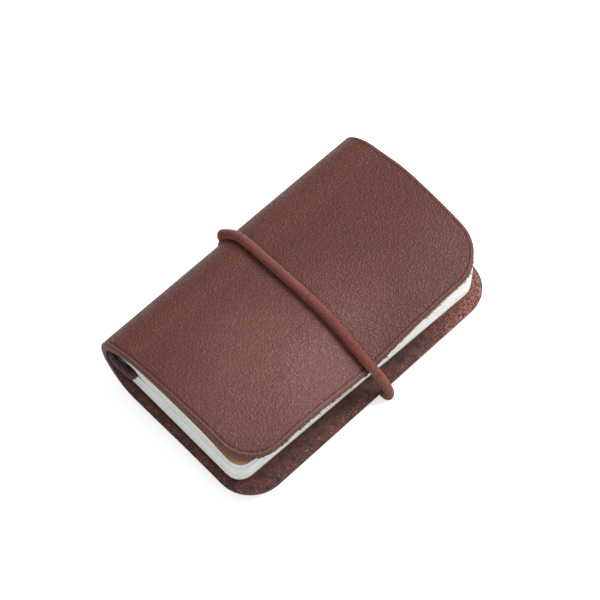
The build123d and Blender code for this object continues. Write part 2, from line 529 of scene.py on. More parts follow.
@dataclass(frozen=True)
class Suede:
    """Flesh side of the leather: napped, mottled orange-brown and dark, with painted light on the nap
    towards the head-fore corner.
    """

    light: Colour = tone(142, 90, 76)
    middle: Colour = tone(64, 29, 21)
    dark: Colour = tone(28, 12, 10)

    def material(self) -> bpy.types.Material:
        """Build the material."""
        suede = Shader("leather_suede")
        patches = suede.noise(2.2, 4.0, 0.7)
        nap = suede.noise(0.5, 4.0, 0.75)
        rim = suede.attribute("edge_mm").span(0.0, 4.2, 1.0, 0.0)
        base = suede.mix(patches.span(0.36, 0.62), self.dark, self.middle)
        flecks = nap.span(0.52, 0.70) * (0.12 + rim * 0.75)
        base = suede.mix(flecks, base, self.light)
        # Painted light: paler nap towards the head-fore corner, which faces the key light.
        painted_corner_light = suede.near(27, 43, 30) * nap.span(0.42, 0.62)
        base = suede.mix(painted_corner_light, base, self.light)
        return suede.dress(
            Base_Color=base,
            Roughness=0.86 + nap * 0.12,
            Normal=suede.bump(nap * 0.7 + patches * 0.4, 0.12),
            Sheen_Weight=0.06,
            Sheen_Roughness=0.5,
        )


@dataclass(frozen=True)
class CutEdge:
    """Cut edge of the leather: burnished dark, with loose fibre showing below, and pale raw fibre
    towards the head-fore corner, partly painted light.
    """

    dark: Colour = tone(46, 23, 19)
    fibre: Colour = tone(106, 64, 52)
    raw_and_lit: Colour = tone(176, 136, 112)

    def material(self) -> bpy.types.Material:
        """Build the material."""
        cut = Shader("leather_edge")
        layers = cut.noise(0.32, 4.0, 0.7, cut.stretched(0.5, 0.5, 2.2))
        blotch = cut.noise(1.7, 3.0, 0.6)
        shade = layers.span(0.42, 0.70) * (0.35 + blotch * 0.65)
        base = cut.mix(shade, self.dark, self.fibre)
        # Pale raw fibre, partly real and partly painted light: it shows only towards the head-fore
        # corner, which faces the key light.
        base = cut.mix(cut.near(24, 30, 30) * (0.35 + shade * 0.65), base, self.raw_and_lit)
        return cut.dress(
            Base_Color=base,
            Roughness=0.62 + layers * 0.25,
            Normal=cut.bump(layers, 0.14),
        )


@dataclass(frozen=True)
class Paper:
    """Cream leaves, uncoated."""

    sheet: Colour = tone(200, 203, 202)
    shadow: Colour = tone(185, 187, 183)

    def material(self) -> bpy.types.Material:
        """Build the material."""
        paper = Shader("paper")
        fibre = paper.noise(0.25, 3.0, 0.6)
        bands = paper.noise(0.5, 2.0, 0.6, paper.stretched(0.06, 0.06, 1.0))
        shade = bands.span(0.35, 0.65) * 0.55 + fibre.span(0.3, 0.7) * 0.2
        return paper.dress(
            Base_Color=paper.mix(shade, self.sheet, self.shadow),
            Roughness=0.82 + fibre * 0.12,
            Normal=paper.bump(fibre, 0.02),
        )


@dataclass(frozen=True)
class Kraft:
    """Brown kraft card of the booklet's cover."""

    card: Colour = tone(138, 104, 76)
    fleck: Colour = tone(98, 68, 46)

    def material(self) -> bpy.types.Material:
        """Build the material."""
        kraft = Shader("kraft")
        fleck = kraft.noise(0.4, 4.0, 0.7, kraft.stretched(1.0, 0.35, 1.0))
        cloud = kraft.noise(5.0, 2.0)
        shade = fleck.span(0.45, 0.75) * 0.6 + cloud * 0.25
        return kraft.dress(
            Base_Color=kraft.mix(shade, self.card, self.fleck),
            Roughness=0.85 + fleck * 0.1,
            Normal=kraft.bump(fleck, 0.03),
        )


@dataclass(frozen=True)
class Braid:
    """Braided sleeve of an elastic, or a waxed thread."""

    name: str
    yarn: Colour
    gap: Colour
    twist: float = 0.35
    sheen: float = 0.3

    def material(self) -> bpy.types.Material:
        """Build the material."""
        braid = Shader(self.name)
        yarn = braid.noise(self.twist, 3.0, 0.6)
        fuzz = braid.noise(0.08, 2.0, 0.6)
        shade = yarn.span(0.34, 0.68)
        return braid.dress(
            Base_Color=braid.mix(shade, self.gap, self.yarn),
            Roughness=0.66 + fuzz * 0.2,
            Normal=braid.bump(fuzz * 0.6 + yarn * 0.5, 0.04),
            Sheen_Weight=self.sheen,
            Sheen_Roughness=0.4,
        )


@dataclass(frozen=True)
class Tabletop:
    """Plain pale surface that the notebook lies on; it glows a little, painted light that lifts its
    shadows toward white.
    """

    pale: Colour = tone(214, 214, 214)
    shade: Colour = tone(210, 210, 210)
    glow: float = 0.8

    def material(self) -> bpy.types.Material:
        """Build the material."""
        top = Shader("tabletop")
        cloud = top.noise(60.0, 2.0)
        return top.dress(
            Base_Color=top.mix(cloud, self.pale, self.shade),
            Roughness=0.9,
            # Painted light: the floor glows so that its shadows fade toward white.
            Emission_Color=self.pale,
            Emission_Strength=self.glow,
        )


# ---------------------------------------------------------------- layout
@dataclass(frozen=True)
class Layout:
    """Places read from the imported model, in millimetres."""

    spine_x: float
    panel_x: float
    front_fore: float
    back_fore: float
    base_z: float
    top_z: float
    leather: float
    front_y: tuple[float, float]
    spine_y: tuple[float, float]
    back_y: tuple[float, float]
    fold_x: float
    skew: float
    block_half: float
    loop_slope: float
    loop_fore_y: float
    cord_r: float

    @property
    def mid_z(self) -> float:
        """Height of the middle of the closed notebook."""
        return (self.base_z + self.top_z) / 2

    def loop_y(self, x: float) -> float:
        """Where the closure elastic lies across the notebook at x."""
        return self.loop_fore_y + (x - self.back_fore) * self.loop_slope

    @staticmethod
    def read() -> "Layout":
        """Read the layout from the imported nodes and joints."""

        def box(node: str) -> np.ndarray:
            """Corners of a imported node."""
            return np.array([list(corner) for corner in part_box(node)]) / MM

        def joint(name: str) -> dict[str, Any]:
            """A packed joint by name."""
            return next(j for j in frame["joints"] if j["name"] == name)

        front, back, strip = box("front_cover"), box("back_cover"), box("spine_strip")
        strand = box("closure_elastic_back")
        turn, release = joint("leaves_front_1_turn"), joint("closure_release")
        slope = release["axis"][1] / release["axis"][0]
        cord_r = (back[0][2] - strand[0][2]) / 2
        return Layout(
            spine_x=strip[0][0],
            panel_x=back[0][0],
            front_fore=front[1][0],
            back_fore=back[1][0],
            base_z=back[0][2],
            top_z=front[1][2],
            leather=back[1][2] - back[0][2],
            front_y=(front[0][1], front[1][1]),
            spine_y=(strip[0][1], strip[1][1]),
            back_y=(back[0][1], back[1][1]),
            fold_x=turn["pos_m"][0] / MM,
            skew=math.atan2(-turn["axis"][0], -turn["axis"][1]),
            block_half=(box("kraft_front")[1][2] - box("kraft_back")[0][2]) / 2,
            loop_slope=slope,
            loop_fore_y=strand[1][1] - cord_r - (strand[1][0] - cord_r - back[1][0]) * slope,
            cord_r=cord_r,
        )


@dataclass(frozen=True)
class CoverForm:
    """How the front cover departs from a flat panel: its crown, and the elastic's pull."""

    layout: Layout
    crown_x: tuple[float, ...] = (-25.9, -22.0, -15.9, -8.0, 2.0, 12.0, 20.0, 23.9)
    crown_z: tuple[float, ...] = (0.0, -0.5, -0.9, -0.1, 0.55, 0.3, -0.45, -0.9)
    pull: float = 3.0
    pull_reach: float = 17.0
    pull_spread: float = 14.0
    press: float = 0.3
    press_spread: float = 1.5
    droop: float = 1.2
    strand_at: float = 0.9
    strand_slope: float = -0.035

    def strand_y(self, x: Any) -> Any:
        """Where the elastic lies across the front cover at x."""
        return self.strand_at + (x - self.layout.panel_x) * self.strand_slope

    def shift(self, x: np.ndarray, y: np.ndarray) -> np.ndarray:
        """How far the front cover stands above its flat height.

        Args:
            x, y: places on the notebook.

        Returns:
            The shift, negative where the cover is pulled down.
        """
        aside = y - self.strand_y(x)
        reach = ease((x - (self.layout.front_fore - self.pull_reach)) / self.pull_reach / 1.15)
        dip = self.pull * reach * np.exp(-((aside / self.pull_spread) ** 2))
        press = self.press * np.exp(-((aside / self.press_spread) ** 2))
        droop = self.droop * ease((x - 8) / 16) * ease((-y - 22) / 18)
        return flow(x, self.crown_x, self.crown_z) - dip - press - droop

    @staticmethod
    def wobble(x: np.ndarray, y: np.ndarray) -> np.ndarray:
        """Slow unevenness of hand-cut leather."""
        return 0.06 * np.sin(0.21 * x + 0.13 * y + 1) + 0.05 * np.sin(0.11 * x - 0.29 * y + 2)


# ---------------------------------------------------------------- leather
class Side(Enum):
    """Half of the cover, by the way it lies from the spine's middle."""

    FRONT = 1
    BACK = -1


@dataclass
class LeatherCover:
    """The wrap cover, in two halves that meet along the middle of the spine."""

    layout: Layout
    form: CoverForm
    corner: float = 9.5
    head_corner: float = 10.5
    skive: float = 0.85
    skive_reach: float = 1.7
    outline_x: tuple[float, ...] = (-25.9, -18.0, -8.0, 2.0, 12.0, 20.0, 23.9)
    front_head: tuple[float, ...] = (0.1, 0.9, 1.35, 0.7, 0.0, -0.7, -1.1)
    front_tail: tuple[float, ...] = (0.5, 0.1, 0.0, 0.0, 0.1, 0.3, 0.35)
    back_head: tuple[float, ...] = (0.1, 0.1, 0.1, 0.1, 0.2, 0.35, 0.4)
    back_tail: tuple[float, ...] = (0.5, 0.2, 0.0, -0.1, -0.3, -0.5, -0.5)
    round_over: float = 0.55
    groove_at: float = 1.08
    groove_width: float = 0.20
    groove_depth: float = 0.17
    rings: tuple[float, ...] = (
        0, 0.06, 0.14, 0.25, 0.4, 0.55, 0.7, 0.82, 0.93, 1.03, 1.13, 1.23, 1.36, 1.55, 1.9, 2.6
    )
    spine_steps: int = 46
    panel_step: float = 0.75

    def _across(self, side: Side) -> tuple[np.ndarray, np.ndarray, np.ndarray]:
        """Section of a half from the spine's middle to its fore edge.

        Args:
            side: which half.

        Returns:
            Outer points (x, z), outward normals (x, z), and distance to the fore edge.
        """
        lay = self.layout
        depth, rise = lay.panel_x - lay.spine_x, lay.top_z - lay.mid_z
        turn = np.linspace(0, math.pi / 2, self.spine_steps)[:-1]
        curve = np.stack([lay.panel_x - depth * np.cos(turn), rise * np.sin(turn)], 1)
        lean = np.stack([-np.cos(turn) / depth, np.sin(turn) / rise], 1)
        lean /= np.linalg.norm(lean, axis=1)[:, None]
        fore = lay.front_fore if side is Side.FRONT else lay.back_fore
        inside = fore - self.rings[-1]
        count = int((inside - lay.panel_x) / self.panel_step)
        flat_x = np.concatenate(
            [np.linspace(lay.panel_x, inside, count)[:-1], fore - np.array(self.rings[::-1])]
        )
        flat = np.stack([flat_x, np.full_like(flat_x, rise)], 1)
        level = np.stack([np.zeros_like(flat_x), np.ones_like(flat_x)], 1)
        points, normals = np.concatenate([curve, flat]), np.concatenate([lean, level])
        scale = np.array([1, side.value])
        return points * scale + [0, lay.mid_z], normals * scale, fore - points[:, 0]

    def _along(self, x: np.ndarray, side: Side) -> tuple[np.ndarray, np.ndarray]:
        """Places along the length for each row, and their distance to the nearer end.

        Args:
            x: x of each row.
            side: which half.

        Returns:
            Grid of y, and grid of distances to the ends.
        """
        lay = self.layout
        panel = lay.front_y if side is Side.FRONT else lay.back_y
        share = ease((x - lay.spine_x) / (lay.panel_x - lay.spine_x + 3))
        tail = self.front_tail if side is Side.FRONT else self.back_tail
        head = self.front_head if side is Side.FRONT else self.back_head
        low = lay.spine_y[0] + share * (panel[0] - lay.spine_y[0])
        high = lay.spine_y[1] + share * (panel[1] - lay.spine_y[1])
        low = low + flow(x, self.outline_x, tail)
        high = high + flow(x, self.outline_x, head)
        rings = np.array(self.rings)
        count = int((panel[1] - panel[0]) / self.panel_step)
        part = np.linspace(0, 1, count)[1:-1]
        inner = (low + rings[-1])[:, None] + (high - low - 2 * rings[-1])[:, None] * part
        y = np.concatenate([low[:, None] + rings, inner, high[:, None] - rings[::-1]], 1)
        return y, np.minimum(y - low[:, None], high[:, None] - y)

    def _half(
        self, side: Side, finishes: Sequence[bpy.types.Material]
    ) -> tuple[bpy.types.Object, np.ndarray]:
        """Build one half of the leather as a closed solid.

        Args:
            side: which half.
            finishes: grain, suede and cut edge.

        Returns:
            The mesh object, and points along the lower corner of its fore edge.
        """
        lay = self.layout
        section, normal, fore_gap = self._across(side)
        y, end_gap = self._along(section[:, 0], side)
        x = np.repeat(section[:, :1], y.shape[1], 1)
        z = np.repeat(section[:, 1:], y.shape[1], 1)
        gap = np.minimum(end_gap, fore_gap[:, None])
        fore = lay.front_fore if side is Side.FRONT else lay.back_fore
        head_corner = self.head_corner if side is Side.FRONT else self.corner
        ends = ((1, y.max(1)[:, None], head_corner), (-1, y.min(1)[:, None], self.corner))
        for sign, edge, radius in ends:
            qx, qy = x - (fore - radius), sign * (y - edge) + radius
            inside = (qx > 0) & (qy > 0)
            stretch = np.where(inside, np.maximum(qx, qy) / np.maximum(np.hypot(qx, qy), 1e-6), 1)
            x = np.where(inside, fore - radius + qx * stretch, x)
            y = np.where(inside, edge - sign * radius + sign * qy * stretch, y)
        if side is Side.FRONT:
            z = z + self.form.shift(x, y) * ease((x - lay.spine_x) / 2)
        uneven = 1.0 if side is Side.FRONT else 0.3
        z = z + self.form.wobble(x, y) * ease((x - lay.spine_x) / 5) * uneven
        out = np.repeat(np.insert(normal, 1, 0, axis=1)[:, None, :], y.shape[1], 1)
        r = self.round_over
        over = r - np.sqrt(np.maximum(r * r - np.maximum(r - gap, 0) ** 2, 0))
        groove = np.exp(-(((gap - self.groove_at) / self.groove_width) ** 2))
        away = ease((x - lay.spine_x - 3) / 9)
        under = self.skive * ease(1 - gap / self.skive_reach) * away
        body = np.stack([x, y, z], -1)
        outer = body - out * (over + groove * self.groove_depth)[..., None]
        inner = body - out * (lay.leather - under)[..., None]
        spread = self._outward(body)
        rim = []
        for share in (0.2, 0.42, 0.64, 0.84):
            ragged = 0.05 * np.sin(9.0 * y + 7 * share) * np.sin(5.3 * x + 3.1 * y + 4 * share)
            swell = 0.08 * math.sin(math.pi * share) + ragged * share * 1.6
            rim.append(outer * (1 - share) + inner * share + spread * swell[..., None])
        points, faces, zones = shell(outer, inner, rim)
        rows, columns = y.shape
        ring_cells = border(rows, columns)
        stored = {"edge_mm": gap, "groove": groove, "spine_share": self._spine_share(x)}
        values = {}
        for key, grid in stored.items():
            ring = grid[ring_cells[:, 0], ring_cells[:, 1]]
            values[key] = np.concatenate([grid.ravel(), grid.ravel()] + [ring] * len(rim))
        if side is Side.BACK:
            faces = [face[::-1] for face in faces]
        slots = [min(zone, 2) for zone in zones]
        name = "cover_front" if side is Side.FRONT else "cover_back"
        return solid(name, points, faces, finishes, slots, stored=values), rim[-1][-1, 4:-8]

    @staticmethod
    def _outward(body: np.ndarray) -> np.ndarray:
        """Steps that point away from the sheet at its free borders.

        Args:
            body: grid of points of the sheet.

        Returns:
            Unit steps at the borders, and zeros elsewhere.
        """
        away = np.zeros_like(body)
        away[:, 0] = body[:, 0] - body[:, 1]
        away[:, -1] = body[:, -1] - body[:, -2]
        away[-1, :] = body[-1, :] - body[-2, :]
        length = np.linalg.norm(away, axis=-1, keepdims=True)
        return np.where(length > 1e-9, away / np.maximum(length, 1e-9), 0)

    def _spine_share(self, x: np.ndarray) -> np.ndarray:
        """1 on the spine, falling to 0 on the panels."""
        lay = self.layout
        return 1 - ease((x - lay.spine_x) / (lay.panel_x - lay.spine_x + 9))

    def _fibres(self, line: np.ndarray, finish: bpy.types.Material) -> bpy.types.Object:
        """Loose fibres along a cut edge: one tapered fibre scattered by nodes.

        Args:
            line: points along the edge.
            finish: material of the cut edge.

        Returns:
            The mesh object.
        """
        mesh = bpy.data.meshes.new("edge_line")
        steps = [(k, k + 1) for k in range(len(line) - 1)]
        mesh.from_pydata((line * MM).tolist(), steps, [])
        host = bpy.data.objects.new("edge_line", mesh)
        bpy.context.scene.collection.objects.link(host)
        sizes = {
            "Step": 0.16 * MM,
            "Share": 0.42,
            "Length": 0.6 * MM,
            "Width": 0.13 * MM,
            "Turn": 1.5,
            "Seed": 5,
        }
        tree = Growth("edge_fibres", sizes, finish)
        curve = tree.node("GeometryNodeMeshToCurve", None, {0: tree.start.outputs[0]})
        places = tree.node(
            "GeometryNodeResampleCurve",
            {"mode": "LENGTH"},
            {"Curve": curve.outputs[0], "Length": tree.size("Step")},
        )
        clump = tree.node("ShaderNodeTexNoise", None, {"Scale": 260.0, "Detail": 1.0})
        keep = tree.node(
            "FunctionNodeCompare",
            {"data_type": "FLOAT", "operation": "GREATER_THAN"},
            {0: clump.outputs[0], 1: 0.5},
        )
        fibre = tree.node(
            "GeometryNodeMeshCone",
            None,
            {"Vertices": 6, "Radius Bottom": tree.size("Width"), "Depth": tree.size("Length")},
        )
        low = tree.node("ShaderNodeMath", {"operation": "SUBTRACT"}, {0: math.pi, 1: tree.size("Turn")})
        high = tree.node("ShaderNodeMath", {"operation": "ADD"}, {0: math.pi, 1: tree.size("Turn")})
        turned = tree.node(
            "FunctionNodeRandomValue",
            {"data_type": "FLOAT_VECTOR"},
            {0: low.outputs[0], 1: high.outputs[0], "Seed": tree.size("Seed")},
        )
        long = tree.node(
            "FunctionNodeRandomValue",
            {"data_type": "FLOAT"},
            {"Min": tree.size("Share"), "Max": 1.5, "Seed": tree.size("Seed")},
        )
        placed = tree.node(
            "GeometryNodeInstanceOnPoints",
            None,
            {
                "Points": places.outputs[0],
                "Selection": keep.outputs[0],
                "Instance": fibre.outputs[0],
                "Rotation": turned.outputs[0],
                "Scale": long.outputs[1],
            },
        )
        return tree.grow(host, placed.outputs[0], "edge_fibres")

    def build(self) -> list[bpy.types.Object]:
        """Build both halves and the loose fibres.

        Returns:
            The front and back halves, and the loose fibres.
        """
        lay = self.layout
        finishes = [GrainLeather().material(), Suede().material(), CutEdge().material()]
        front, fore_edge = self._half(Side.FRONT, finishes)
        back, _ = self._half(Side.BACK, finishes)
        low, high = lay.mid_z + 2, lay.top_z - 1
        lay.spine_x * MM
        low * MM
        (lay.panel_x - 0.5) * MM
        high * MM
        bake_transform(front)
        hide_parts("front_cover", "front_crease")
        fibres = self._fibres(fore_edge, finishes[2])
        lay.spine_x * MM
        low * MM
        (lay.panel_x - 0.5) * MM
        high * MM
        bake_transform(fibres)
        low, high = lay.base_z + 1, lay.mid_z - 2
        (lay.panel_x - 0.5) * MM
        low * MM
        lay.spine_x * MM
        high * MM
        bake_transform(back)
        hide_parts("back_cover", "back_crease", "spine_strip")
        return [front, back, fibres]


# ---------------------------------------------------------------- booklet
@dataclass
class Booklet:
    """Leaves, kraft cover and stitches, askew in the cover and pressed by the elastic."""

    layout: Layout
    form: CoverForm
    length: float = 77.4
    reach: float = 38.8
    start: float = 1.6
    corner: float = 4.0
    kraft: float = 0.35
    kraft_over: float = 0.9
    leaf: float = 0.162
    leaves_per_group: int = 7
    group_pitch: float = 1.4
    group_gap: float = 0.05
    fold_depth: float = 3.2
    core: float = 1.2
    flare: float = 6.0
    jitter: float = 0.07
    parted: float = 0.09
    rings: tuple[float, ...] = (0, 0.35, 0.9, 1.7, 2.8, 4.2)

    @property
    def leaves_top(self) -> float:
        """Height of the uppermost leaf above the middle."""
        return self.layout.block_half - self.kraft - self.group_gap

    def _askew(self, u: np.ndarray, v: np.ndarray) -> tuple[np.ndarray, np.ndarray]:
        """x and y of places u from the fold and v along it, in the booklet that lies askew."""
        lay = self.layout
        x = lay.fold_x + u * math.cos(lay.skew) + v * math.sin(lay.skew)
        return x, -u * math.sin(lay.skew) + v * math.cos(lay.skew)

    def _settle(self, points: np.ndarray) -> np.ndarray:
        """Carry flat booklet points to where they lie in the closed cover.

        Args:
            points: rows of distance from the fold, place along it, and height.

        Returns:
            Millimetre points in the frame.
        """
        lay = self.layout
        u, v, w = points.T
        near = 1 - ease((u - self.start) / self.flare)
        height = np.abs(w)
        open_core = np.maximum(self.core * (1 - height / self.leaves_top), 0)
        w = w * (1 - self.parted / self.leaves_top) + np.sign(w) * self.parted
        w = w + np.sign(w) * near * open_core
        ripple = 0.05 * np.sin(0.19 * v + 0.8 * w) * np.sin(0.9 * w + 0.12 * u) * (1 - near)
        x, y = self._askew(u, v)
        upper = np.clip(w / lay.block_half, 0, 1)
        z = lay.mid_z + w + ripple + self.form.shift(x, y) * upper
        return np.stack([x, y, z], 1)

    def _sheet(self, low: float, high: float, over: float = 0.0) -> tuple:
        """One flat sheet with rounded fore corners.

        Args:
            low, high: heights of its two faces.
            over: how far it stands past the leaves at the tail's fore corner.

        Returns:
            Points and faces.
        """
        rings = np.array(self.rings)
        end = self.reach
        inner_u = np.linspace(self.start, end - rings[-1], 12)[:-1]
        u = np.concatenate([inner_u, end - rings[::-1]])
        half = self.length / 2
        inner_v = np.linspace(-half + rings[-1], half - rings[-1], 22)[1:-1]
        v = np.concatenate([-half + rings, inner_v, half - rings[::-1]])
        u, v = np.meshgrid(u, v, indexing="ij")
        radius = self.corner
        for sign in (1, -1):
            qu, qv = u - (end - radius), sign * v - (half - radius)
            inside = (qu > 0) & (qv > 0)
            stretch = np.where(inside, np.maximum(qu, qv) / np.maximum(np.hypot(qu, qv), 1e-6), 1)
            u = np.where(inside, end - radius + qu * stretch, u)
            v = np.where(inside, sign * (half - radius + qv * stretch), v)
        tail = np.clip(0.5 - v / self.length, 0, 1)
        corner = 1 - ease((v - half + 10) / 9)
        u = u + over * (0.5 + 0.5 * tail) * corner * ease(u / end)
        v = v - over * 0.6 * ease(-v / half)
        top = np.stack([u, v, np.full_like(u, high)], -1)
        under = np.stack([u, v, np.full_like(u, low)], -1)
        return shell(top, under)[:2]

    def _group(self, name: str, low: float, seed: int, finish: bpy.types.Material) -> bpy.types.Object:
        """A group of leaves: one sheet repeated upwards by nodes, then laid in the cover.

        Args:
            name: name of the piece.
            low: height of the group's underside above the middle.
            seed: seed of the leaves' small offsets.
            finish: paper.

        Returns:
            The mesh object.
        """
        points, faces = self._sheet(0.0, self.leaf)
        host = solid(name + "_leaf", points, faces, [finish])
        depth = self.group_pitch - self.group_gap
        sizes = {
            "Leaves": self.leaves_per_group,
            "Pitch": (depth - self.leaf) / (self.leaves_per_group - 1) * MM,
            "Jitter": self.jitter * MM,
            "Seed": seed,
        }
        stack = Growth("leaf_stack", sizes, finish)
        step = stack.node("ShaderNodeCombineXYZ", None, {2: stack.size("Pitch")}).outputs[0]
        line = stack.node(
            "GeometryNodeMeshLine", {"mode": "OFFSET"}, {"Count": stack.size("Leaves"), "Offset": step}
        )
        placed = stack.node(
            "GeometryNodeInstanceOnPoints",
            None,
            {"Points": line.outputs[0], "Instance": stack.start.outputs[0]},
        )
        aside = stack.node(
            "FunctionNodeRandomValue",
            {"data_type": "FLOAT_VECTOR"},
            {0: (-1.0, -1.0, 0.0), 1: (1.0, 1.0, 0.0), "Seed": stack.size("Seed")},
        )
        small = stack.node(
            "ShaderNodeVectorMath",
            {"operation": "SCALE"},
            {0: aside.outputs[0], "Scale": stack.size("Jitter")},
        )
        moved = stack.node(
            "GeometryNodeTranslateInstances", None, {0: placed.outputs[0], 2: small.outputs[0]}
        )
        made = stack.grow(host, moved.outputs[0], name)
        self._lay(made, low)
        return made

    def _lay(self, piece: bpy.types.Object, low: float) -> None:
        """Move a flat piece's points to where they lie in the closed cover.

        Args:
            piece: sheets whose underside is at height 0.
            low: height of that underside above the middle.
        """
        reshape(piece, lambda points: self._settle(points + [0, 0, low]))
        piece.data.polygons.foreach_set("use_smooth", np.ones(len(piece.data.polygons), bool))
        piece.data.set_sharp_from_angle(angle=math.radians(30))

    def _fold(self, low: float, high: float) -> tuple:
        """One folded sheet behind the fold.

        Args:
            low, high: heights of the two faces of its flat part.

        Returns:
            Points and faces.
        """
        turn = np.linspace(-math.pi / 2, math.pi / 2, 15)
        v = np.linspace(-self.length / 2, self.length / 2, 12)

        def skin(height: float) -> np.ndarray:
            """One face of the folded sheet, whose flat part lies at that height."""
            share = min(height / self.leaves_top, 1.0)
            tall = height + self.core * (1 - share)
            deep = self.core + (self.fold_depth - 0.05 - self.core) * share
            if height > self.leaves_top:
                deep, tall = self.fold_depth - self.layout.block_half + height, height
            u = self.start - (deep + self.start) * np.cos(turn)
            w = tall * np.sin(turn)
            u, place = np.meshgrid(u, v, indexing="ij")
            return np.stack([u, place, np.repeat(w[:, None], len(v), 1)], -1)

        points, faces = shell(skin(high), skin(low))[:2]
        lay = self.layout
        u, place, w = points.T
        x, y = self._askew(u, place)
        z = lay.mid_z + w + self.form.shift(x, y) * np.clip(w / lay.block_half, 0, 1)
        return np.stack([x, y, z], 1), faces

    def _bend(self, piece: bpy.types.Object) -> None:
        """Bake a folded piece's transform into its mesh."""
        lay = self.layout
        half = lay.block_half
        lay.fold_x * MM
        (lay.mid_z - half) * MM
        lay.fold_x * MM
        (lay.mid_z + half) * MM
        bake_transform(piece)

    def _stitches(self) -> bpy.types.Object:
        """Waxed stitches along the outside of the fold, one stitch repeated by nodes."""
        finish = Braid("waxed_thread", tone(214, 205, 182), tone(150, 140, 118), 0.5).material()
        base = bpy.data.meshes.new("stitch_start")
        base.from_pydata([(0, 0, 0)], [], [])
        host = bpy.data.objects.new("stitch_start", base)
        bpy.context.scene.collection.objects.link(host)
        sizes = {"Stitches": 5, "Pitch": 12 * MM, "Length": 6.4 * MM, "Radius": 0.28 * MM}
        row = Growth("stitch_row", sizes, finish)
        step = row.node("ShaderNodeCombineXYZ", None, {1: row.size("Pitch")}).outputs[0]
        line = row.node(
            "GeometryNodeMeshLine", {"mode": "OFFSET"}, {"Count": row.size("Stitches"), "Offset": step}
        )
        ball = row.node("GeometryNodeMeshIcoSphere", None, {"Radius": 1.0, "Subdivisions": 3})
        stretch = row.node(
            "ShaderNodeCombineXYZ",
            None,
            {0: row.size("Radius"), 1: row.size("Length"), 2: row.size("Radius")},
        )
        halved = row.node(
            "ShaderNodeVectorMath", {"operation": "MULTIPLY"}, {0: stretch.outputs[0], 1: (1, 0.5, 1)}
        )
        placed = row.node(
            "GeometryNodeInstanceOnPoints",
            None,
            {"Points": line.outputs[0], "Instance": ball.outputs[0], "Scale": halved.outputs[0]},
        )
        made = row.grow(host, placed.outputs[0], "fold_stitches")

        def behind_fold(points: np.ndarray) -> np.ndarray:
            """Stitch points moved to the outside of the fold."""
            u, v, w = (points + [-self.fold_depth - 0.3, -24, 0]).T
            return np.stack([*self._askew(u, v), self.layout.mid_z + w], 1)

        reshape(made, behind_fold)
        made.data.polygons.foreach_set("use_smooth", np.ones(len(made.data.polygons), bool))
        self._bend(made)
        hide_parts("sewing_thread")
        return made

    def build(self) -> list[bpy.types.Object]:
        """Build every sheet of the booklet and tie the leaf groups and kraft sheets to their bodies.

        Returns:
            The pieces.
        """
        paper, kraft = Paper().material(), Kraft().material()
        pieces = []
        depth = self.group_pitch - self.group_gap
        for group in range(4):
            top = self.leaves_top - group * self.group_pitch
            number = group + 1
            front = self._group(f"leaves_front_{number}_sheets", top - depth, 11 + group, paper)
            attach(front, f"leaves_front_{number}")
            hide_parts(f"leaves_front_{number}")
            back = self._group(f"leaves_back_{number}_sheets", -top, 31 + group, paper)
            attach(back, "booklet" if number < 3 else f"leaves_back_{number}")
            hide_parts(f"leaves_back_{number}")
            pitch = depth / self.leaves_per_group
            folds = [
                self._fold(top - depth + k * pitch, top - depth + k * pitch + self.leaf)
                for k in range(self.leaves_per_group)
            ]
            fold = solid(f"leaf_fold_{number}_sheets", *joined(folds), [paper])
            self._bend(fold)
            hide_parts(f"leaf_fold_{number}")
            pieces += [front, back, fold]
        half = self.layout.block_half
        for name, body, low, over in (
            ("kraft_front", "leaves_front_1", half - self.kraft, self.kraft_over),
            ("kraft_back", "booklet", -half, 0.0),
        ):
            points, faces = self._sheet(low, low + self.kraft, over)
            sheet = solid(f"{name}_sheet", self._settle(points), faces, [kraft])
            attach(sheet, body)
            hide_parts(name)
            pieces.append(sheet)
        fold = solid("kraft_fold_sheet", *self._fold(half - self.kraft, half), [kraft])
        self._bend(fold)
        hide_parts("kraft_fold")
        pieces.append(fold)
        return [*pieces, self._stitches()]


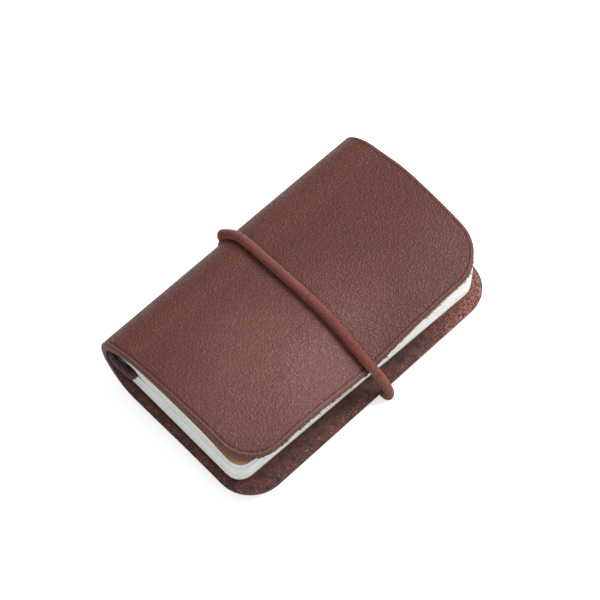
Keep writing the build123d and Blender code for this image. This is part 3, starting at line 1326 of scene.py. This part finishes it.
# ---------------------------------------------------------------- elastics
@dataclass
class RibbedCord:
    """A round elastic with a ribbed braided sleeve, grown along a smooth line."""

    radius: float
    finish: bpy.types.Material
    ribs: int = 10
    rib: float = 0.11
    lead: float = 4.4

    def along(self, name: str, route: Sequence[Sequence[float]]) -> bpy.types.Object:
        """Grow the cord along a route.

        Args:
            name: name of the piece.
            route: control points of its smooth line, in millimetres.

        Returns:
            The mesh object.
        """
        curve = bpy.data.curves.new(name + "_line", "CURVE")
        curve.dimensions = "3D"
        spline = curve.splines.new("NURBS")
        spline.points.add(len(route) - 1)
        for point, place in zip(spline.points, route):
            point.co = (*(value * MM for value in place), 1.0)
        spline.order_u = 3
        spline.use_endpoint_u = True
        spline.resolution_u = 16
        host = bpy.data.objects.new(name + "_line", curve)
        bpy.context.scene.collection.objects.link(host)
        around = self.ribs * 6
        sizes = {
            "Radius": (self.radius - self.rib) * MM,
            "Step": 0.13 * MM,
            "Twist": 2 * math.pi / (self.lead * MM),
            "Wave": 2 * math.pi * self.ribs / around,
            "Rib Share": self.rib / (self.radius - self.rib),
            "Around": around,
        }
        tree = Growth("ribbed_cord", sizes, self.finish)
        fine = tree.node(
            "GeometryNodeResampleCurve",
            {"mode": "LENGTH"},
            {"Curve": tree.start.outputs[0], "Length": tree.size("Step")},
        )
        place = tree.node("GeometryNodeSplineParameter").outputs["Length"]
        turn = tree.node("ShaderNodeMath", {"operation": "MULTIPLY"}, {0: place, 1: tree.size("Twist")})
        twisted = tree.node(
            "GeometryNodeSetCurveTilt", None, {"Curve": fine.outputs[0], "Tilt": turn.outputs[0]}
        )
        disc = tree.node(
            "GeometryNodeCurvePrimitiveCircle",
            None,
            {"Resolution": tree.size("Around"), "Radius": tree.size("Radius")},
        )
        index = tree.node("GeometryNodeInputIndex").outputs[0]
        phase = tree.node("ShaderNodeMath", {"operation": "MULTIPLY"}, {0: index, 1: tree.size("Wave")})
        wave = tree.node("ShaderNodeMath", {"operation": "SINE"}, {0: phase.outputs[0]})
        deep = tree.node(
            "ShaderNodeMath", {"operation": "MULTIPLY"}, {0: wave.outputs[0], 1: tree.size("Rib Share")}
        )
        here = tree.node("GeometryNodeInputPosition").outputs[0]
        out = tree.node(
            "ShaderNodeVectorMath", {"operation": "SCALE"}, {0: here, "Scale": deep.outputs[0]}
        )
        lobed = tree.node(
            "GeometryNodeSetPosition", None, {"Geometry": disc.outputs[0], "Offset": out.outputs[0]}
        )
        sleeve = tree.node(
            "GeometryNodeCurveToMesh",
            None,
            {"Curve": twisted.outputs[0], "Profile Curve": lobed.outputs[0], "Fill Caps": True},
        )
        smooth = tree.node("GeometryNodeSetShadeSmooth", None, {0: sleeve.outputs[0]})
        return tree.grow(host, smooth.outputs[0], name)


@dataclass
class ClosureElastic:
    """The loop that holds the notebook shut, and its knot inside the spine."""

    layout: Layout
    form: CoverForm
    lean: float = 1.1

    def _on_front(self, x: float) -> tuple[float, float, float]:
        """The strand's centre where it lies on the front cover.

        Args:
            x: place on the cover, from the rounded spine to the fore edge.

        Returns:
            A millimetre point.
        """
        lay = self.layout
        y = self.form.strand_y(x)
        lift = float(self.form.shift(np.array([x]), np.array([y]))[0])
        deep, rise = lay.panel_x - lay.spine_x, lay.top_z - lay.mid_z
        turn = math.acos(min(max((lay.panel_x - x) / deep, 0.0), 1.0))
        lean = Vector((-math.cos(turn) / deep, math.sin(turn) / rise)).normalized()
        away = lay.cord_r + 0.02
        height = lay.mid_z + rise * math.sin(turn) + lift + lean[1] * away
        return (x + lean[0] * away, y, height)

    def _at(self, x: float, z: float) -> tuple[float, float, float]:
        """A point in the loop's upright plane."""
        return (x, self.layout.loop_y(x), z)

    def build(self) -> list[bpy.types.Object]:
        """Build the loop's stretches and its knot; the front strand, the fore drop, the back strand and
        the knot are tied to bodies.
        """
        lay = self.layout
        cord = RibbedCord(
            lay.cord_r, Braid("cord_sleeve", tone(122, 50, 35), tone(66, 24, 17)).material()
        )
        r = lay.cord_r
        out = lay.spine_x - r + 0.35
        top = lay.top_z + r
        base = lay.base_z - r - 0.02
        fore, last = lay.front_fore, lay.back_fore + r + 0.1
        seam = lay.panel_x - 4.5
        lip = self._on_front(fore - 0.6)[2]
        front_run = [self._on_front(x) for x in np.linspace(seam, fore - 1.4, 16)]
        edge_y, foot_y = self.form.strand_y(fore), lay.loop_fore_y + self.lean
        over_edge = (fore + 1.3, edge_y + 0.35, lip - 1.7)
        front_run += [(fore + 0.7, edge_y, lip - 0.35), over_edge]
        drop = [over_edge, (fore + 1.75, edge_y + 0.75, lip - 3.0)]
        drop += [
            (last, foot_y, lay.base_z + 2.2),
            (last + 0.15, foot_y, lay.base_z - 0.1),
            (last - 0.35, foot_y, base),
            (last - 3.0, foot_y, base),
        ]
        back_run = [(last - 3.0, foot_y, base), (10, foot_y - 0.8, base)]
        back_run += [self._at(x, base) for x in (0, -10, seam)]
        start, near, bend = (self._on_front(seam - step) for step in (0.0, 1.8, 3.6))
        shoulder = [
            start,
            (near[0], near[1] - 0.1, near[2]),
            (bend[0], lay.loop_y(lay.spine_x) + 0.45, bend[2]),
            self._at(out + 0.25, lay.top_z - 4.6),
            self._at(out, lay.mid_z + 3.6),
            self._at(out - 0.05, lay.mid_z + 1.3),
            self._at(lay.spine_x + 0.2, lay.mid_z + 1.2),
            self._at(lay.spine_x + 2.3, lay.mid_z + 1.2),
        ]
        under = [
            self._at(seam, base),
            self._at(seam - 2.4, base),
            self._at(lay.spine_x + 1.0, lay.base_z + 1.2),
            self._at(out, lay.base_z + 3.9),
            self._at(out, lay.mid_z - 3.6),
            self._at(out - 0.05, lay.mid_z - 1.3),
            self._at(lay.spine_x + 0.2, lay.mid_z - 1.2),
            self._at(lay.spine_x + 2.3, lay.mid_z - 1.2),
        ]
        front = cord.along("closure_front_strand", front_run)
        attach(front, "closure_front")
        high = (lay.top_z + r + 0.4) * MM
        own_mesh(front)
        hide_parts("closure_elastic_front")
        edge = cord.along("closure_fore_drop", drop)
        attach(edge, "root")
        r * MM
        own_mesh(edge)
        back = cord.along("closure_back_strand", back_run)
        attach(back, "root")
        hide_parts("closure_elastic_back")
        over = cord.along("closure_front_shoulder", shoulder)
        lay.spine_x * MM
        (lay.mid_z + 2) * MM
        (lay.panel_x - 0.5) * MM
        (lay.top_z - 1) * MM
        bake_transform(over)
        below = cord.along("closure_back_shoulder", under)
        (lay.panel_x - 0.5) * MM
        (lay.base_z + 1) * MM
        lay.spine_x * MM
        (lay.mid_z - 2) * MM
        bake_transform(below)
        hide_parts("closure_elastic_spine")
        knot = Knot("closure_knot", "closure_knot_turns").build(cord.finish)
        made = [front, edge, back, over, below, knot]
        return made


@dataclass
class Knot:
    """An overhand knot drawn tight, filling the room of its node."""

    node: str
    name: str
    strand: float = 0.36

    def _route(self, low: np.ndarray, high: np.ndarray) -> list[tuple[float, float, float]]:
        """Line of the knotted strand.

        Args:
            low, high: corners of the room that the knot fills.

        Returns:
            Millimetre points.
        """
        centre, half = (low + high) / 2, (high - low) / 2 - self.strand
        points = []
        for share in np.linspace(0, 2 * math.pi, 33):
            wide = (2 + math.cos(3 * share)) / 3
            unit = (math.sin(3 * share) * 0.9, wide * math.cos(2 * share), wide * math.sin(2 * share))
            points.append(tuple(centre + half * np.array(unit)))
        return points

    def build(self, finish: bpy.types.Material) -> bpy.types.Object:
        """Build the knot, or both knots, and tie them to the spine.

        Args:
            finish: the elastic's sleeve.

        Returns:
            The mesh object.
        """
        low, high = (np.array(list(corner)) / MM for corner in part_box(self.node))
        cord = RibbedCord(self.strand, finish, ribs=6, rib=0.04, lead=2.2)
        rooms = [(low, high)]
        size = 4.0
        if high[1] - low[1] > 2 * size:
            rooms = [(low, np.array([high[0], low[1] + size, high[2]]))]
            rooms.append((np.array([low[0], high[1] - size, low[2]]), high))
        knots = [cord.along(f"{self.name}_{k}", self._route(*room)) for k, room in enumerate(rooms)]
        whole = knots[0]
        if len(knots) > 1:
            with bpy.context.temp_override(
                active_object=whole, object=whole, selected_editable_objects=knots
            ):
                bpy.ops.object.join()
        whole.name = self.name
        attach(whole, "spine")
        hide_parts(self.node)
        return whole


@dataclass
class BindingElastic:
    """The elastic down the centre fold, its two ends and their knots inside the spine."""

    layout: Layout
    radius: float = 0.9
    turn_y: float = 39.75
    knots_y: float = 6.65
    flatten: float = 1.8
    slack: float = 3.0

    def _end(self, side: int) -> list[tuple[float, float, float]]:
        """Route of one end, round the booklet and inside the spine to its knot.

        Args:
            side: -1 at the tail, 1 at the head.

        Returns:
            Millimetre points, from the fold to the knot.
        """
        lay = self.layout
        z = lay.mid_z
        fold = lay.fold_x + side * math.sin(lay.skew) * self.turn_y
        inside = lay.spine_x + lay.leather + self.radius + 0.05
        knot = lay.loop_y(lay.spine_x) + side * self.knots_y
        return [
            (fold, side * 36.8, z),
            (fold + self.slack * 0.3, side * 38.2, z),
            (fold + self.slack, side * 38.9, z),
            (fold + self.slack * 1.1, side * (self.turn_y + 0.05), z),
            (fold, side * (self.turn_y + 0.1), z),
            (inside + 1.0, side * (self.turn_y + 0.05), z),
            (inside, side * (self.turn_y - 0.8), z),
            (inside, side * 30.0, z),
            (inside, side * 18.0, z),
            (inside, knot, z),
        ]

    def _press(self, points: np.ndarray) -> np.ndarray:
        """Points of an end spread upwards and downwards, as where it bends round the booklet."""
        middle = np.array([0, 0, self.layout.mid_z])
        return middle + (points - middle) * [1, 1, self.flatten]

    def build(self) -> list[bpy.types.Object]:
        """Build the core, both ends and the knots."""
        lay = self.layout
        sleeve = Braid("binding_sleeve", tone(72, 16, 14), tone(34, 8, 7), sheen=0.06).material()
        cord = RibbedCord(self.radius, sleeve, ribs=9, rib=0.07, lead=3.6)
        slope = math.sin(lay.skew)
        run = [(lay.fold_x + y * slope, y, lay.mid_z) for y in (-37.2, -20, 0, 20, 37.2)]
        core = cord.along("binding_core_cord", run)
        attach(core, "booklet")
        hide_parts("binding_core")
        made = [core]
        for side, end in ((-1, "tail"), (1, "head")):
            piece = cord.along(f"binding_{end}_cord", self._end(side))
            reshape(piece, self._press)
            (lay.spine_x + 2) * MM
            lay.mid_z * MM
            (lay.fold_x - 1) * MM
            lay.mid_z * MM
            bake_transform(piece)
            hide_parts(f"binding_{end}")
            made.append(piece)
        made.append(Knot("binding_knots", "binding_knots_turns").build(sleeve))
        return made


# ---------------------------------------------------------------- studio
@dataclass
class Studio:
    """Pale floor, soft lights and the camera."""

    target: tuple[float, float, float] = (-3.2, 3.1, 8.45)
    azimuth: float = 45.5
    elevation: float = 61.5
    distance: float = 571.0
    lens: float = 144.0

    def _towards(self, azimuth: float, elevation: float) -> Vector:
        """Unit step from the notebook towards a place on the sky."""
        a, e = math.radians(azimuth), math.radians(elevation)
        return Vector((math.sin(a) * math.cos(e), -math.cos(a) * math.cos(e), math.sin(e)))

    def _lamp(self, name: str, azimuth: float, elevation: float, size: float, power: float) -> None:
        """Add a square soft light that faces the notebook from 0.6 m.

        Args:
            name: name of the light.
            azimuth, elevation: where it stands, in degrees.
            size: side in metres.
            power: watts.
        """
        lamp = bpy.data.lights.new(name, "AREA")
        lamp.size, lamp.energy = size, power
        made = bpy.data.objects.new(name, lamp)
        away = self._towards(azimuth, elevation)
        made.location = away * 0.6
        made.rotation_mode = "QUATERNION"
        made.rotation_quaternion = away.to_track_quat("Z", "Y")
        bpy.context.scene.collection.objects.link(made)

    def build(self) -> None:
        """Build the floor, the lights and the camera."""
        size = 3000.0
        points = np.array([(-size, -size, 0), (size, -size, 0), (size, size, 0), (-size, size, 0)])
        floor = solid("floor", points, [(0, 1, 2, 3)], [Tabletop().material()])
        world = bpy.data.worlds.new("sky")
        world.use_nodes = True
        world.node_tree.nodes["Background"].inputs[0].default_value = (1, 1, 1, 1)
        world.node_tree.nodes["Background"].inputs[1].default_value = 0.75
        bpy.context.scene.world = world
        self._lamp("window", 155, 48, 0.3, 5.6)
        self._lamp("fill", 20, 40, 0.6, 1.0)
        camera = bpy.data.cameras.new("camera")
        camera.lens, camera.sensor_width = self.lens, 36.0
        made = bpy.data.objects.new("camera", camera)
        back = self._towards(self.azimuth, self.elevation)
        made.location = Vector(self.target) * MM + back * self.distance * MM
        made.rotation_mode = "QUATERNION"
        made.rotation_quaternion = (-back).to_track_quat("-Z", "Y")
        camera.clip_start, camera.clip_end = 0.01, 20.0
        bpy.context.scene.collection.objects.link(made)
        bpy.context.scene.camera = made
        bpy.context.scene.view_settings.view_transform = "Standard"


def main() -> None:
    """Build the notebook in order."""
    logging.basicConfig(level=logging.INFO, format="%(name)s: %(message)s")
    layout = Layout.read()
    form = CoverForm(layout)
    Studio().build()
    for part in (
        LeatherCover(layout, form),
        Booklet(layout, form),
        ClosureElastic(layout, form),
        BindingElastic(layout),
    ):
        for piece in part.build():
            faces = len(piece.data.polygons)
            LOG.info("%s: %s, %d faces", type(part).__name__, piece.name, faces)


if __name__ == "__main__":
    main()
